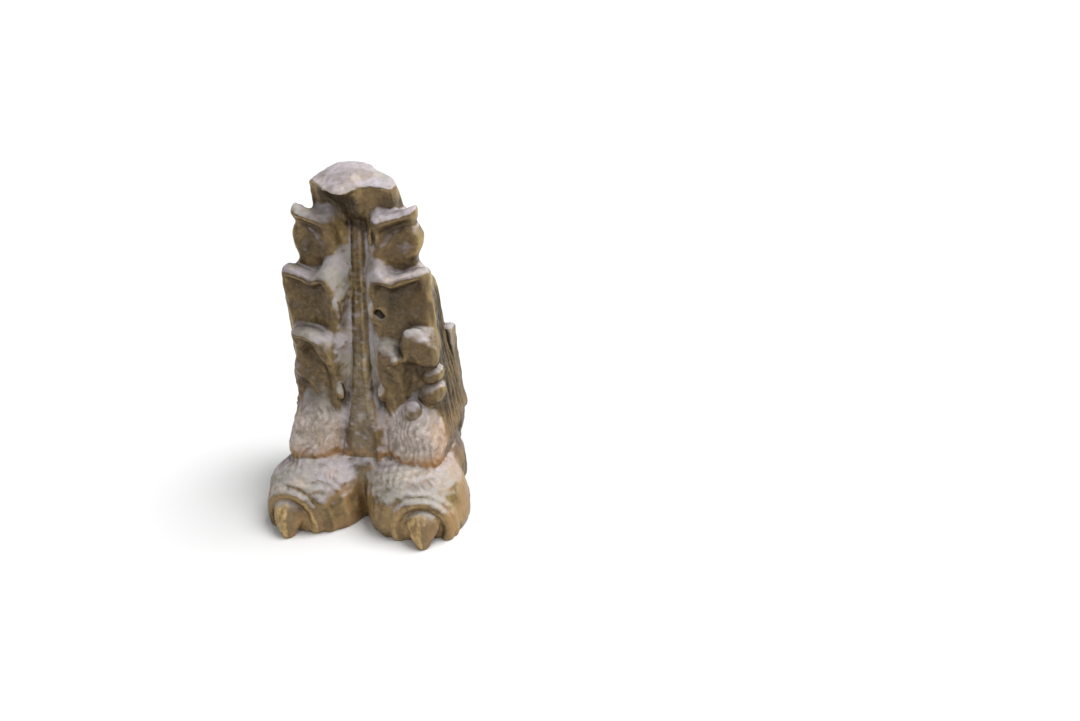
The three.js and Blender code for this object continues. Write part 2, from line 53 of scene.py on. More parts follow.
# The foot is sculpted as a distance field in millimetres, negative inside: the claws point
# along -y, the flat back faces +y and the sole is at z = 0. The field's zero surface becomes
# the mesh, which then gets its hair and casting flaws.

FINE_STEP = 0.72  # between sample points
LOW = np.array([-62.0, -62.0, -3.2])
HIGH = np.array([62.0, 33.0, 191.0])
BACK = 30.0
STEM_TOP = 176.0
MOST_TRIANGLES = 194000
NOISE_SEED = 11
CORNERS = [(i, j, k) for i in (0, 1) for j in (0, 1) for k in (0, 1)]


# ---------------------------------------------------------------- curves and solids


def soft_min(a, b, k):
    """Two solids as one, with a fillet about k wide between them."""
    h = np.maximum(k - np.abs(a - b), 0.0) / k
    return np.minimum(a, b) - h * h * (k * 0.25)


def soft_max(a, b, k):
    """What two solids share, with its edge rounded about k wide."""
    h = np.maximum(k - np.abs(a - b), 0.0) / k
    return np.maximum(a, b) + h * h * (k * 0.25)


def step01(x, low, high):
    """0 up to low, 1 from high on, and a smooth step between them."""
    t = np.clip((x - low) / (high - low), 0.0, 1.0)
    return t * t * (3.0 - 2.0 * t)


def bell(x):
    """1 where x is 0, fading out by 2 on both sides."""
    return np.exp(-(x ** 2))


def curve(z, *stations):
    """A value that runs through stations (z, value)."""
    zs, values = (np.array(a, dtype=float) for a in zip(*stations))
    slopes = np.diff(values) / np.diff(zs)
    rates = np.concatenate([[0.0], 0.5 * (slopes[1:] + slopes[:-1]), [0.0]])
    i = np.clip(np.searchsorted(zs, z) - 1, 0, len(zs) - 2)
    span = (zs[1:] - zs[:-1])[i]
    t = np.clip((z - zs[i]) / span, 0.0, 1.0)
    a, b = values[i], values[i + 1]
    ra, rb = rates[i] * span, rates[i + 1] * span
    smooth = (((2 * t - 3) * t * t + 1) * a + ((t - 2) * t + 1) * t * ra
              + (3 - 2 * t) * t * t * b + (t - 1) * t * t * rb)
    return smooth.astype(np.float32)


def spline(a, b, c, d, t):
    """The Catmull-Rom point a share t of the way from b to c."""
    return 0.5 * (2 * b + (c - a) * t + (2 * a - 5 * b + 4 * c - d) * t * t
                  + (3 * b - a - 3 * c + d) * t ** 3)


def smooth_outline(points, per_span=5):
    """A closed curve through the points."""
    p = np.array(points, dtype=float)
    n = len(p)
    return np.array([spline(p[i - 1], p[i], p[(i + 1) % n], p[(i + 2) % n], j / per_span)
                     for i in range(n) for j in range(per_span)])


def smooth_line(points, per_span=6):
    """An open curve through the points."""
    p = np.array(points, dtype=float)
    p = np.vstack([2 * p[0] - p[1], p, 2 * p[-1] - p[-2]])
    inner = [spline(*p[i - 1:i + 3], j / per_span)
             for i in range(1, len(p) - 2) for j in range(per_span)]
    return np.array(inner + [p[-2]])


def segment_distance(u, v, a, b):
    """Distance of points (u, v) to the segment ab, and the share along it."""
    dx, dy = b[0] - a[0], b[1] - a[1]
    length = dx * dx + dy * dy + 1e-9
    t = np.clip(((u - a[0]) * dx + (v - a[1]) * dy) / length, 0.0, 1.0)
    return np.hypot(u - a[0] - t * dx, v - a[1] - t * dy), t


def outline_distance(u, v, outline):
    """Signed distance to a closed outline, negative inside."""
    best = np.full(np.broadcast(u, v).shape, 1e9, dtype=np.float32)
    inside = np.zeros(best.shape, dtype=bool)
    for i, a in enumerate(outline):
        b = outline[(i + 1) % len(outline)]
        d, _ = segment_distance(u, v, a, b)
        best = np.minimum(best, d)
        if a[1] != b[1]:
            crosses = (a[1] > v) != (b[1] > v)
            where = u < (b[0] - a[0]) * (v - a[1]) / (b[1] - a[1]) + a[0]
            inside ^= crosses & where
    return np.where(inside, -best, best).astype(np.float32)


def stroke(u, v, points, width, height):
    """The height of a rounded bead along a line in the (u, v) plane, tapered at both ends."""
    line = smooth_line(points)
    n = len(line) - 1
    out = np.zeros(np.broadcast(u, v).shape, dtype=np.float32)
    for i in range(n):
        d, t = segment_distance(u, v, line[i], line[i + 1])
        share = (i + t) / n
        size = np.sin(math.pi * np.clip(0.08 + 0.84 * share, 0, 1)) ** 0.6
        out = np.maximum(out, bell(d / width) * size)
    return height * out


def strokes_height(u, v, strokes):
    """The height of all the strokes (points, width, height) together."""
    return sum(stroke(u, v, *item) for item in strokes)


def superball(x, y, z, centre, radii, power):
    """Distance to a plump ellipsoid."""
    a, b, c = radii
    u, v, w = np.abs(x - centre[0]) / a, np.abs(y - centre[1]) / b, np.abs(z - centre[2]) / c
    s = u ** power + v ** power + w ** power + 1e-9
    r = s ** (1.0 / power)
    scale = s ** (1.0 / power - 1.0)
    gu = u ** (power - 1) / a * scale
    gv = v ** (power - 1) / b * scale
    gw = w ** (power - 1) / c * scale
    g = np.sqrt(gu * gu + gv * gv + gw * gw) + 1e-6
    return (r - 1.0) / g


def horn(x, y, z, line, squash):
    """Distance to a chain of round cones (x, y, z, radius), made squash times as wide in x."""
    best = None
    for (*a, ra), (*b, rb) in zip(line, line[1:]):
        ab = [b[i] - a[i] for i in range(3)]
        length = sum(c * c for c in ab)
        px, py, pz = (x - a[0]), (y - a[1]), (z - a[2])
        t = np.clip((px * ab[0] + py * ab[1] + pz * ab[2]) / length, 0.0, 1.0)
        d = np.sqrt(((px - t * ab[0]) / squash) ** 2 + (py - t * ab[1]) ** 2
                    + (pz - t * ab[2]) ** 2)
        d = d - (ra + (rb - ra) * t)
        best = d if best is None else np.minimum(best, d)
    return best


def turned(x, y, centre, degrees):
    """The point's place in a frame that sits at centre and is turned about z."""
    c, s = math.cos(math.radians(degrees)), math.sin(math.radians(degrees))
    return ((x - centre[0]) * c + (y - centre[1]) * s,
            -(x - centre[0]) * s + (y - centre[1]) * c)


def hoop(x, y, z, centre, radius, tall, thick):
    """Distance to an upright ring over a claw, which faces forward and a little outward."""
    u, v = turned(x, y, centre, CLAW_TURN)
    w = (z - centre[2]) / tall
    return np.hypot(np.hypot(u, w) - radius, v) - thick


def corner_weights(share):
    """Each corner of a cell, with its trilinear weight for points at that share of the cell."""
    for corner in CORNERS:
        wx, wy, wz = (share[:, i] if corner[i] else 1 - share[:, i] for i in range(3))
        yield corner, wx * wy * wz


class Noise:
    """Smooth value noise from a seeded lattice, between -0.5 and 0.5."""

    SIZE = 24

    def __init__(self, seed):
        shape = (self.SIZE, self.SIZE, self.SIZE)
        self.lattice = np.random.default_rng(seed).random(shape).astype(np.float32)

    def __call__(self, points, scale):
        p = points / scale
        i = np.floor(p).astype(int)
        f = (p - i).astype(np.float32)
        f = f * f * (3 - 2 * f)
        total = 0
        for corner, weight in corner_weights(f):
            total = total + weight * self.lattice[tuple(((i + corner) % self.SIZE).T)]
        return total - 0.5


# ---------------------------------------------------------------- the foot's measures

KEEL_FRONT = -27.0  # y of the keel's front at its foot
KEEL_FOOT = 36.0  # height above which the keel leans back
KEEL_LEAN = 44.0 / 126.0  # how far it leans back over its height
KEEL_TOP = 168.0
CLAW_TURN = 9  # degrees that a claw's folds turn outward
TOE_TURN = 18  # the same for the toe's pad
TOE_CENTRE = (32.0, -27.0)
TOE_HEIGHT = 9.0  # of the widest level of toe and paw
PLATE_FRONT = 23.0
PLATE_TOP = 91.0
CAP_EDGE = 180.0  # height of the cap's front edge

# Leaf outlines and the strokes on them, as (distance from the middle plane, height).
# A stroke is (line, width, height), and a negative height cuts in.
UPPER = [(12, 128), (10.8, 139), (10.4, 150), (11.2, 158), (14, 163), (20, 165), (27, 166.6),
         (32, 168.4), (35.6, 168.8), (36.6, 165), (35.2, 160.5), (36.6, 157.5), (38.2, 153),
         (37.8, 148), (35.6, 143.5), (33.4, 139.5), (32.5, 133), (31, 128)]
UPPER_STROKES = [
    ([(34.6, 165.6), (25, 164), (17, 161.6), (13.8, 156)], 2.4, 1.2),
    ([(35, 161.6), (30, 161.4), (25, 159)], 1.8, -0.8),
    ([(35.6, 157), (35.6, 150), (33.4, 143.5)], 2.6, 1.2),
    ([(24, 154), (19, 149), (15, 146.5)], 2.0, 1.3),
    ([(17, 155.5), (24, 158.5), (31, 160)], 2.8, -2.0),
    ([(18, 142), (25, 144), (33, 145)], 5.0, 2.2),
]
MIDDLE = [(11, 94), (10, 104), (9.5, 113), (9.4, 122), (10, 129.5), (12, 134.4), (15.5, 136.6),
          (19, 135.2), (22, 133.8), (26, 134.8), (31, 136.8), (36, 138), (39.8, 138),
          (41.8, 134.5), (42.6, 125), (42.6, 115), (41.6, 108), (40, 101), (39, 94)]
MIDDLE_STROKES = [
    ([(22.6, 130.6), (19.4, 133), (15.8, 133.4), (13, 130.6), (12.0, 124)], 2.1, 1.6),
    ([(24, 131.4), (31, 133.8), (37.6, 134.6), (39.6, 130), (40, 120)], 2.2, 1.1),
    ([(22, 129), (21, 122), (22, 115)], 2.0, -0.8),
    ([(24.5, 127.5), (30, 129.5), (37, 130.5)], 3.2, -2.2),
    ([(14.5, 125), (17, 129), (20, 127.5)], 2.6, -1.8),
    ([(18, 109), (27, 111.5), (38, 112)], 6.0, 2.6),
    ([(40, 119), (41, 112), (40, 104)], 2.0, -1.2),
]
LOWER = [(14, 50), (13.6, 60), (13, 72), (12.6, 84), (13.2, 91.5), (15.8, 96), (19.4, 97.6),
         (22.8, 96), (25.2, 94), (26, 98.6), (28.4, 103), (32.4, 106), (37.4, 106.8),
         (41.6, 105.2), (44.4, 100.6), (44.8, 94), (43.6, 88), (44, 82), (44.2, 76), (43.6, 70),
         (42.6, 64), (41, 58), (39, 50)]
LOWER_STROKES = [
    ([(24.4, 91.6), (21.6, 94.2), (18.4, 94), (15.8, 91), (15.2, 86)], 2.0, 1.2),
    ([(25.0, 91.2), (21.6, 91.6), (18.4, 89.2), (18.2, 85)], 1.7, 2.4),
    ([(21.0, 89), (22.2, 82), (24.0, 74), (25, 67)], 2.8, 3.2),
    ([(28.5, 90), (29, 82), (29.5, 72)], 2.6, -2.0),
    ([(26, 96), (25.4, 91), (26.4, 86)], 1.3, -1.8),
    ([(17, 84), (17.6, 76), (19, 68)], 1.8, -1.6),
]
LOWER_LEFT = [(14, 50), (13.4, 60), (12.8, 72), (12.2, 82), (12.6, 90), (14.6, 96.4),
              (18.6, 101.8), (23.4, 105), (29, 106.4), (35.4, 106.6), (38.4, 104), (38.8, 98),
              (39.2, 92), (40.2, 86), (41.8, 80), (43.2, 74), (43.2, 67), (42.4, 62), (41, 57),
              (39, 50)]
LOWER_LEFT_STROKES = [
    ([(37.8, 103.4), (30, 103.4), (24, 102), (18.6, 98), (15.4, 92), (14.8, 84)], 2.4, 1.5),
    ([(35.5, 98.6), (30.5, 98.4)], 5.0, 1.8),
    ([(22.4, 95), (18.8, 92), (15.6, 88.4)], 1.7, 2.4),
    ([(29.0, 91), (25, 86), (21.5, 79), (21, 71)], 5.4, -5.5),
    ([(42, 84), (36.4, 80.6), (31.2, 73), (26.6, 66), (23, 60)], 2.8, 3.4),
    ([(40, 74), (35.5, 67)], 3.0, -1.2),
]

# The claw's body and the ridge down its front, as (x, y, z, radius)
CLAW_BODY = [(37.6, -42.0, 12.4, 8.0), (38.2, -46.8, 12.4, 7.6), (38.6, -50.6, 9.2, 6.4),
             (38.8, -53.2, 5.2, 4.7), (38.9, -55.4, 1.0, 2.8)]
CLAW_RIDGE = [(38.0, -48.2, 18.4, 1.4), (38.4, -52.8, 14.4, 2.2), (38.7, -55.3, 9.0, 2.4),
              (38.8, -56.2, 4.6, 2.2), (38.9, -56.4, 1.0, 1.9)]


def keel_line(z):
    """Depth of the keel's front edge at height z."""
    return KEEL_FRONT + (np.maximum(z, KEEL_FOOT) - KEEL_FOOT) * KEEL_LEAN


def keel_half(z):
    """Half the keel's width at height z."""
    return curve(z, (30, 13), (36, 11.5), (43, 9.6), (50, 8.0), (64, 5.6), (84, 4.0),
                 (122, 3.3), (162, 2.2), (170, 2))


# ---------------------------------------------------------------- the foot's forms


class Grid:
    """The sample points' coordinates, and their distance out from the middle plane."""

    def __init__(self, step):
        counts = np.ceil((HIGH - LOW) / step).astype(int) + 1
        x, y, z = (LOW[i] + step * np.arange(counts[i], dtype=np.float32) for i in range(3))
        self.x = x[:, None, None].astype(np.float32)
        self.y = y[None, :, None].astype(np.float32)
        self.z = z[None, None, :].astype(np.float32)
        self.ax = np.abs(self.x)
        # the stem, its leaves and the tufts are a little narrower on their left
        narrow = curve(self.z, (36, 0), (60, 1.8), (100, 1.4), (140, 0.8), (148, 2.6), (172, 2.6))
        self.out = self.ax + narrow * step01(-self.x, 20, 34)


def core(g):
    """The stem, with the keel's valley down its front and furrows down its flanks."""
    z = g.z
    line = keel_line(z)
    lead = curve(z, (30, -4), (58, -6), (66, -7), (84, -5), (98, 0), (105, 1.2), (137, 1.5),
                 (166, 3.5))
    column = line - lead
    valley_bed = line + 2.2
    valley = column + np.maximum(valley_bed - column, 0) * (1 - step01(g.out, 7.0, 15.5))
    # a groove on each side of the keel, the left one deeper
    beside = keel_half(z) + 1.3
    valley = valley + 1.9 * bell((g.x + beside) / 1.5) + 0.8 * bell((g.x - beside - 0.6) / 1.8)
    front = valley - g.y
    # the steps in the flank's outline lie lower towards the back
    fallen = z + 0.45 * np.clip(g.y - 8, 0, 22) * step01(z, 92, 118)
    back_half = curve(fallen, (0, 33), (30, 40), (46, 41.6), (68, 41), (82, 37.8), (91, 36),
                      (108, 35.2), (124, 34.6), (130, 33.4), (134, 28.8), (138, 24.8),
                      (146, 22.8), (160, 21.2), (174, 19), (186, 16))
    front_half = curve(fallen, (0, 33), (35, 43), (66, 43.2), (92, 42), (124, 39.6),
                       (136, 36.4), (141, 32), (152, 29.4), (164, 24.6), (174, 20), (186, 16))
    t = np.clip((BACK - g.y) / np.maximum(BACK - column - 6, 4), 0, 1)
    wide_pitch, fine_pitch = 5.4, 3.1
    flute = 0.6 * np.cos(2 * math.pi * (g.y + 1.6 * np.sin(z / 11.0)) / wide_pitch)
    flute = flute + 0.3 * np.cos(2 * math.pi * (g.y - 1.2 * np.sin(z / 17.0)) / fine_pitch)
    flute = flute * step01(z, 34, 48) * (1 - step01(z, 112, 134))
    side = g.out - (back_half + (front_half - back_half) * t ** 0.8 + flute)
    return np.maximum(soft_max(front, side, 5.0), z - STEM_TOP)


def leaf(g, outline, strokes, face, wrap, inner, scoop, shear, left=None):
    """One tier of leaf on both sides of the keel.

    face is the depth of its front next to the keel, wrap how far it bends back at its outer
    edge, inner where that bend starts, scoop how deep its face is hollowed and shear how much
    the ledge on top draws in. left has the other outline and strokes of the left side.
    """
    flat = outline_distance(g.out, g.z, smooth_outline(outline))
    relief = strokes_height(g.out, g.z, strokes)
    if left:
        left_outline, left_strokes = left
        flat = np.where(g.x < 0, outline_distance(g.out, g.z, smooth_outline(left_outline)), flat)
        relief = np.where(g.x < 0, strokes_height(g.out, g.z, left_strokes), relief)
    span = np.clip((g.out - inner) / 28.0, 0, 1.3)
    depth = np.maximum(-flat - 2.6, 0)
    hollow = scoop * (1 - bell(depth / 5.8))
    surface = face + wrap * span ** 2 + hollow - relief
    front = surface - g.y
    behind = np.maximum(g.y - surface, 0)
    # the ledge on top draws in towards the back, and the wall beside the keel slopes
    drawn = 0.15 * behind + shear * np.maximum(behind - 8, 0)
    inward = 1 - step01(g.out, 13, 20)
    side = flat + drawn * step01(g.out, 16, 34) - (0.05 + 0.4 * inward) * np.minimum(behind, 14)
    return soft_max(front, side, 4.0)


def upper_leaf(g):
    return leaf(g, UPPER, UPPER_STROKES, face=5.0, wrap=3.0, inner=10, scoop=3.2, shear=0.75)


def middle_leaf(g):
    return leaf(g, MIDDLE, MIDDLE_STROKES, face=-6.4, wrap=4.2, inner=9.5, scoop=4.6, shear=0.65)


def lower_leaf(g):
    return leaf(g, LOWER, LOWER_STROKES, face=-16.2, wrap=6.5, inner=13, scoop=4.4, shear=0.4,
                left=(LOWER_LEFT, LOWER_LEFT_STROKES))


def tuft(g):
    """Fur hanging over a toe: a rounded block whose front leans back."""
    out, y, z = g.out, g.y, g.z
    front = curve(z, (24, -24), (28, -28.8), (31, -31), (36, -31.6), (42, -30.4), (50, -26.2),
                  (58, -20), (64, -14.5), (70, -9), (76, -4))
    cheek = 0.032 * np.maximum(30 - out, 0) ** 2 + 0.032 * np.maximum(out - 33, 0) ** 2
    outer = curve(z, (24, 38), (28.5, 41.5), (32.5, 44.3), (42, 44.6), (52, 42.2), (61, 39),
                  (70, 37))
    inner = curve(z, (28, 11.2), (40, 11.2), (52, 12.2), (62, 13.5), (74, 15))
    sides = soft_max(out - outer, inner - out, 3.0)
    d = soft_max(front + cheek - y, sides, 5.0)
    bottom = 28.4 + 0.020 * np.maximum(31 - out, 0) ** 2 + 0.03 * np.maximum(out - 33, 0) ** 2
    d = soft_max(d, bottom + 0.10 * (y + 30) - z, 4.5)
    return soft_max(d, z - 72, 8.0)


def thumb(g):
    """The lower right leaf's rounded lobe."""
    d = superball(g.x, g.y, g.z + 0.4 * (g.x - 36),
                  centre=(35.8, -9.4, 96.8), radii=(9.6, 5.8, 10.4), power=2.25)
    return np.where(g.x > 0, d, 60.0)


def tips(g):
    """Two curled tips under the lobe, and the knob on the tuft."""
    tilted = g.z - 0.35 * (g.x - 40)
    above = superball(g.x, g.y, tilted, centre=(40.4, -7.8, 80.0), radii=(6.0, 5.6, 4.8), power=2.1)
    below = superball(g.x, g.y, tilted, centre=(38.4, -8.2, 68.8), radii=(8.2, 7.0, 7.2), power=2.1)
    d = np.where(g.x > 0, soft_min(above, below, 0.8), 60.0)
    knob = superball(g.x, g.y - 0.4 * (g.z - 61), g.z,
                     centre=(29.6, -17.6, 61.8), radii=(4.7, 3.0, 5.0), power=2.2)
    return soft_min(d, knob, 0.8)


def toes(g):
    """A round pad at the front of each toe, the paw behind it and the web between the two."""
    z = g.z
    u, v = turned(g.ax, g.y, TOE_CENTRE, TOE_TURN)
    # the pad reaches further in towards the notch than out
    v = v - 0.14 * np.maximum(-u - 4, 0)
    u = np.where(u < 0, u * (25.0 / 31.5), u)
    drop = (1 + 0.07 * np.clip(u / 25, 0, 1) - 0.05 * np.clip(-u / 25, 0, 1)
            + 0.12 * np.clip(-v / 24, 0, 1) ** 2)
    pad = superball(u, v, (z - TOE_HEIGHT) * drop,
                    centre=(0, 0, 0), radii=(25.0, 24.2, 25.8), power=2.45)
    paw = superball(g.ax, g.y, z,
                    centre=(29.5, -1.0, TOE_HEIGHT), radii=(15.8, 30.0, 24.6), power=2.5)
    web_top = 35.5
    web_front = np.where(z < KEEL_FOOT, -32.4 + 5.4 * np.clip(z / KEEL_FOOT, 0, 1) ** 1.7,
                         keel_line(z))
    web = np.maximum(np.maximum(web_front - g.y, g.ax - 26), z - web_top)
    web = soft_max(web, z - web_top, 6.0)
    return soft_min(soft_min(pad, paw, 7.0), web, 4.0)


def keel(g):
    """The keel between the leaves, with a thin ridge on its right and a fluted foot."""
    z = g.z
    half = keel_half(z)
    line = keel_line(z)
    foot_share = 1 - step01(z, 58, 84)
    across = g.x / np.maximum(half, 1)
    flute = 0.5 * foot_share * (0.5 - 0.5 * np.cos(math.pi * 2 * across + 0.6))
    ridge_place = 0.55 + 0.25 * foot_share
    ridges = 0.9 * bell((g.x - ridge_place * half) / 1.7) + 0.3 * bell((across + 0.7) / 0.5)
    front = line + 0.9 + flute - ridges - g.y
    side = (g.ax - half - 0.6 * np.maximum(g.y - line, 0)) * 0.86
    d = np.maximum(soft_max(front, side, 2.4), z - KEEL_TOP)
    return soft_max(d, 33.0 - z + 0.05 * (g.y - line), 6.0)


def buds(g):
    """A small bud on each side of the keel, beside the middle leaves and the lower ones."""
    upper = superball(g.ax, g.y, g.z, centre=(10.2, -5.0, 115.5), radii=(2.0, 2.6, 7.5), power=2.0)
    lower = superball(g.ax, g.y, g.z, centre=(12.6, -14.4, 70.5), radii=(2.6, 3.0, 5.4), power=2.0)
    return np.minimum(upper, lower)


def cap(g):
    """The waved cap: its middle juts forward, and its right side turns back more sharply."""
    x, z = g.x, g.z
    half = 23.6 + 1.2 * step01(-x, 8, 22)
    beak = curve(x, (-24, 18.0), (-19, 13.4), (-11.5, 6.0), (-6.4, 1.8), (-2.2, -0.4),
                 (0.4, -0.9), (2.6, 1.0), (4.6, 5.0), (7.4, 9.6), (11.8, 12.2), (17.8, 12.4),
                 (24, 11.0))
    edge = CAP_EDGE - 0.05 * x
    t = np.clip((edge - 0.9 - z) / 16.0, 0, 1)
    cove = np.sqrt(t * (2 - t))
    # the wall goes in under the beak on the left, and straight down on the right
    wall = curve(x, (-24, 18.4), (-8, 15.5), (0, 12.0), (5, 10.5), (9, 12.0), (24, 13.5))
    wall = np.maximum(wall, beak + 0.4)
    front = beak + (wall - beak) * cove
    d = (front - g.y) * 0.8
    # the back corners are round, the right one more so, and draw in towards the top
    corner = np.hypot(np.maximum(g.ax - 12.5, 0), np.maximum(g.y - 18.0, 0)) - 11.4
    corner = corner - curve(z, (160, 2.4), (169.4, 1.6), (174.3, 0.6), (179.2, -0.8), (186, -3.0))
    right = step01(x, 6, 12)
    side = np.maximum(g.ax - half, corner * right + (corner - 4.0) * (1 - right))
    body = soft_max(d, side, 1.8)
    dome = curve(x, (-27, 177.6), (-23.8, 179.4), (-19, 182.0), (-11.4, 185.0), (-4.1, 186.3),
                 (2.9, 185.9), (9.5, 183.6), (14.4, 181.2), (18.5, 179.4), (24, 177.6))
    rise = np.clip((g.y - np.minimum(beak, 12)) / (24.0 - np.minimum(beak, 12)), 0, 1)
    top = edge + (dome - edge) * np.sin(0.5 * math.pi * rise)
    body = soft_max(body, (z - top) * 0.9, 1.3)
    return soft_max(body, 159.0 - z + 0.5 * np.maximum(16 - g.y, 0), 5.0)


def fold_gap(g):
    """The groove between a claw and the folds over it, to be cut out."""
    return hoop(g.ax, g.y, g.z, centre=(37.6, -51.5, 6.5), radius=11.4, tall=1.12, thick=2.2)


def folds(g):
    """Two folds of skin over each claw."""
    inner = hoop(g.ax, g.y, g.z, centre=(37.0, -47.6, 7.0), radius=14.6, tall=1.08, thick=2.9)
    outer = hoop(g.ax, g.y, g.z, centre=(34.6, -44.8, 7.0), radius=19.0, tall=0.98, thick=2.5)
    return soft_min(inner, outer, 0.9)


def claws(g):
    """A plump claw over each toe, with a ridge down its front."""
    body = horn(g.ax, g.y, g.z, smooth_line(CLAW_BODY, per_span=3), squash=1.33)
    ridge = horn(g.ax, g.y, g.z, smooth_line(CLAW_RIDGE, per_span=3), squash=1.0)
    return soft_min(body, ridge, 1.2)


def plate(g):
    """The plate behind the flanks."""
    half = curve(g.z, (0, 37), (12, 37.5), (36, 42.4), (91, 42.4))
    d = soft_max(g.ax - half, g.z - PLATE_TOP, 1.4)
    return soft_max(d, PLATE_FRONT - g.y, 1.2)


def pit(g):
    """A small hole in the casting, in the right middle leaf."""
    upper = superball(g.x, g.y, g.z + 0.3 * (g.x - 13),
                      centre=(13.2, -3.0, 114.8), radii=(1.7, 4.5, 1.9), power=2.0)
    lower = superball(g.x, g.y, g.z, centre=(14.6, -3.6, 112.6), radii=(1.2, 3.4, 1.1), power=2.0)
    return soft_min(upper, lower, 1.0)


def slot(g):
    """The dark slot beside the right upper leaf."""
    return superball(g.x - 0.12 * (g.z - 152), g.y, g.z,
                     centre=(11.4, 5.0, 152.0), radii=(1.2, 3.6, 6.0), power=2.0)


def whole(g):
    """The foot's distance field."""
    d = core(g)
    for form, fillet in ((upper_leaf, 3.4), (middle_leaf, 3.4), (lower_leaf, 2.8), (tuft, 2.4),
                         (thumb, 2.4), (tips, 1.6), (toes, 2.0), (keel, 2.4), (buds, 0.8),
                         (cap, 3.0)):
        d = soft_min(d, form(g), fillet)
    d = soft_max(d, -fold_gap(g), 0.8)
    for form, fillet in ((folds, 2.0), (claws, 0.7), (plate, 0.8)):
        d = soft_min(d, form(g), fillet)
    for cut, rounding in ((pit, 2.0), (slot, 1.6)):
        d = soft_max(d, -cut(g), rounding)
    d = np.maximum(d, g.y - BACK)
    d = np.maximum(d, -g.z)
    return d.astype(np.float32)


# ---------------------------------------------------------------- the field and its surface


class Field:
    """The foot's distance field on the grid."""

    def __init__(self, step):
        self.step = step
        self.values = whole(Grid(step))

    def at(self, points):
        """The field's value at the points."""
        p = (points - LOW) / self.step
        i = np.clip(np.floor(p).astype(int), 0, np.array(self.values.shape) - 2)
        out = 0
        for corner, weight in corner_weights(p - i):
            out = out + weight * self.values[tuple((i + corner).T)]
        return out

    def gradient(self, points):
        """The field's slope at the points."""
        reach = 0.5 * self.step
        parts = []
        for axis in range(3):
            shift = np.zeros(3)
            shift[axis] = reach
            parts.append((self.at(points + shift) - self.at(points - shift)) / (2 * reach))
        return np.stack(parts, axis=1)

    def normals(self, points):
        slope = self.gradient(points)
        return slope / (np.linalg.norm(slope, axis=1)[:, None] + 1e-9)

    def onto_surface(self, points):
        """The points, moved onto the zero surface by half a step at most."""
        slope = self.gradient(points)
        size = (slope ** 2).sum(1) + 1e-4
        move = slope * (self.at(points) / size)[:, None]
        length = np.linalg.norm(move, axis=1)[:, None]
        return points - move * np.minimum(1, 0.5 * self.step / (length + 1e-9))

    def open_sky(self, points, normals, reaches):
        """How open the space over each point is: 1 in the open, towards 0 in a recess."""
        shut = 0
        for reach in reaches:
            shut = shut + np.clip(1 - self.at(points + normals * reach) / reach, 0, 1.5)
        return np.clip(1 - shut / len(reaches), 0, 1)

    def shelter(self, points, normals, reaches):
        """How close a ledge hangs over each point: 1 right under it, 0 in the open."""
        above = np.array([0.0, -0.35, 0.94])
        start, room = 1.2, 0.35
        hidden = 0
        for reach in reaches:
            clear = self.at(points + normals * start + above * reach)
            hidden = hidden + np.clip(1 - clear / (room * reach), 0, 1)
        return hidden / len(reaches)

    def sharpness(self, points, normals, reach):
        """How sharply the surface bends outwards at each point."""
        return np.clip(1 + self.at(points - normals * reach) / reach, 0, 1)


def surface_net(field):
    """The field's zero surface as vertices and quads."""
    values = field.values
    inside = values < 0
    nx, ny, nz = values.shape
    total = sum(inside[i:i + nx - 1, j:j + ny - 1, k:k + nz - 1].astype(np.int8)
                for i, j, k in CORNERS)
    active = (total > 0) & (total < 8)
    index = np.full(active.shape, -1, dtype=np.int64)
    cells = np.argwhere(active)
    index[active] = np.arange(len(cells))

    # each vertex is the mean of the places where the surface cuts its cell's edges
    sums = np.zeros((len(cells), 3))
    counts = np.zeros(len(cells))
    for a in range(8):
        for b in range(a + 1, 8):
            if np.abs(np.array(CORNERS[a]) - CORNERS[b]).sum() != 1:
                continue
            pa, pb = cells + CORNERS[a], cells + CORNERS[b]
            va, vb = values[tuple(pa.T)], values[tuple(pb.T)]
            cut = (va < 0) != (vb < 0)
            t = np.where(cut, va / np.where(cut, va - vb, 1), 0)
            sums += np.where(cut[:, None], pa + (pb - pa) * t[:, None], 0)
            counts += cut
    points = sums / counts[:, None]

    # each grid edge that the surface cuts gets a quad between the four cells round it
    quads = []
    for axis, (u, v) in enumerate([(1, 2), (2, 0), (0, 1)]):
        low_end = [slice(1, -1)] * 3
        low_end[axis] = slice(0, -1)
        high_end = list(low_end)
        high_end[axis] = slice(1, None)
        first, second = inside[tuple(low_end)], inside[tuple(high_end)]
        crossing = np.argwhere(first != second)
        base = crossing + 1
        base[:, axis] -= 1
        outward = first[tuple(crossing.T)]
        ring = []
        for du, dv in [(-1, -1), (0, -1), (0, 0), (-1, 0)]:
            cell = base.copy()
            cell[:, u] += du
            cell[:, v] += dv
            ring.append(index[tuple(cell.T)])
        ring = np.stack(ring, axis=1)
        ring[~outward] = ring[~outward][:, ::-1]
        quads.append(ring)
    return LOW + points * field.step, np.vstack(quads)


# ---------------------------------------------------------------- fine relief


def comb(phase):
    """A rounded furrow pattern, 0 in the furrows and 1 on the crests."""
    return 0.5 + 0.5 * np.cos(2 * math.pi * phase)


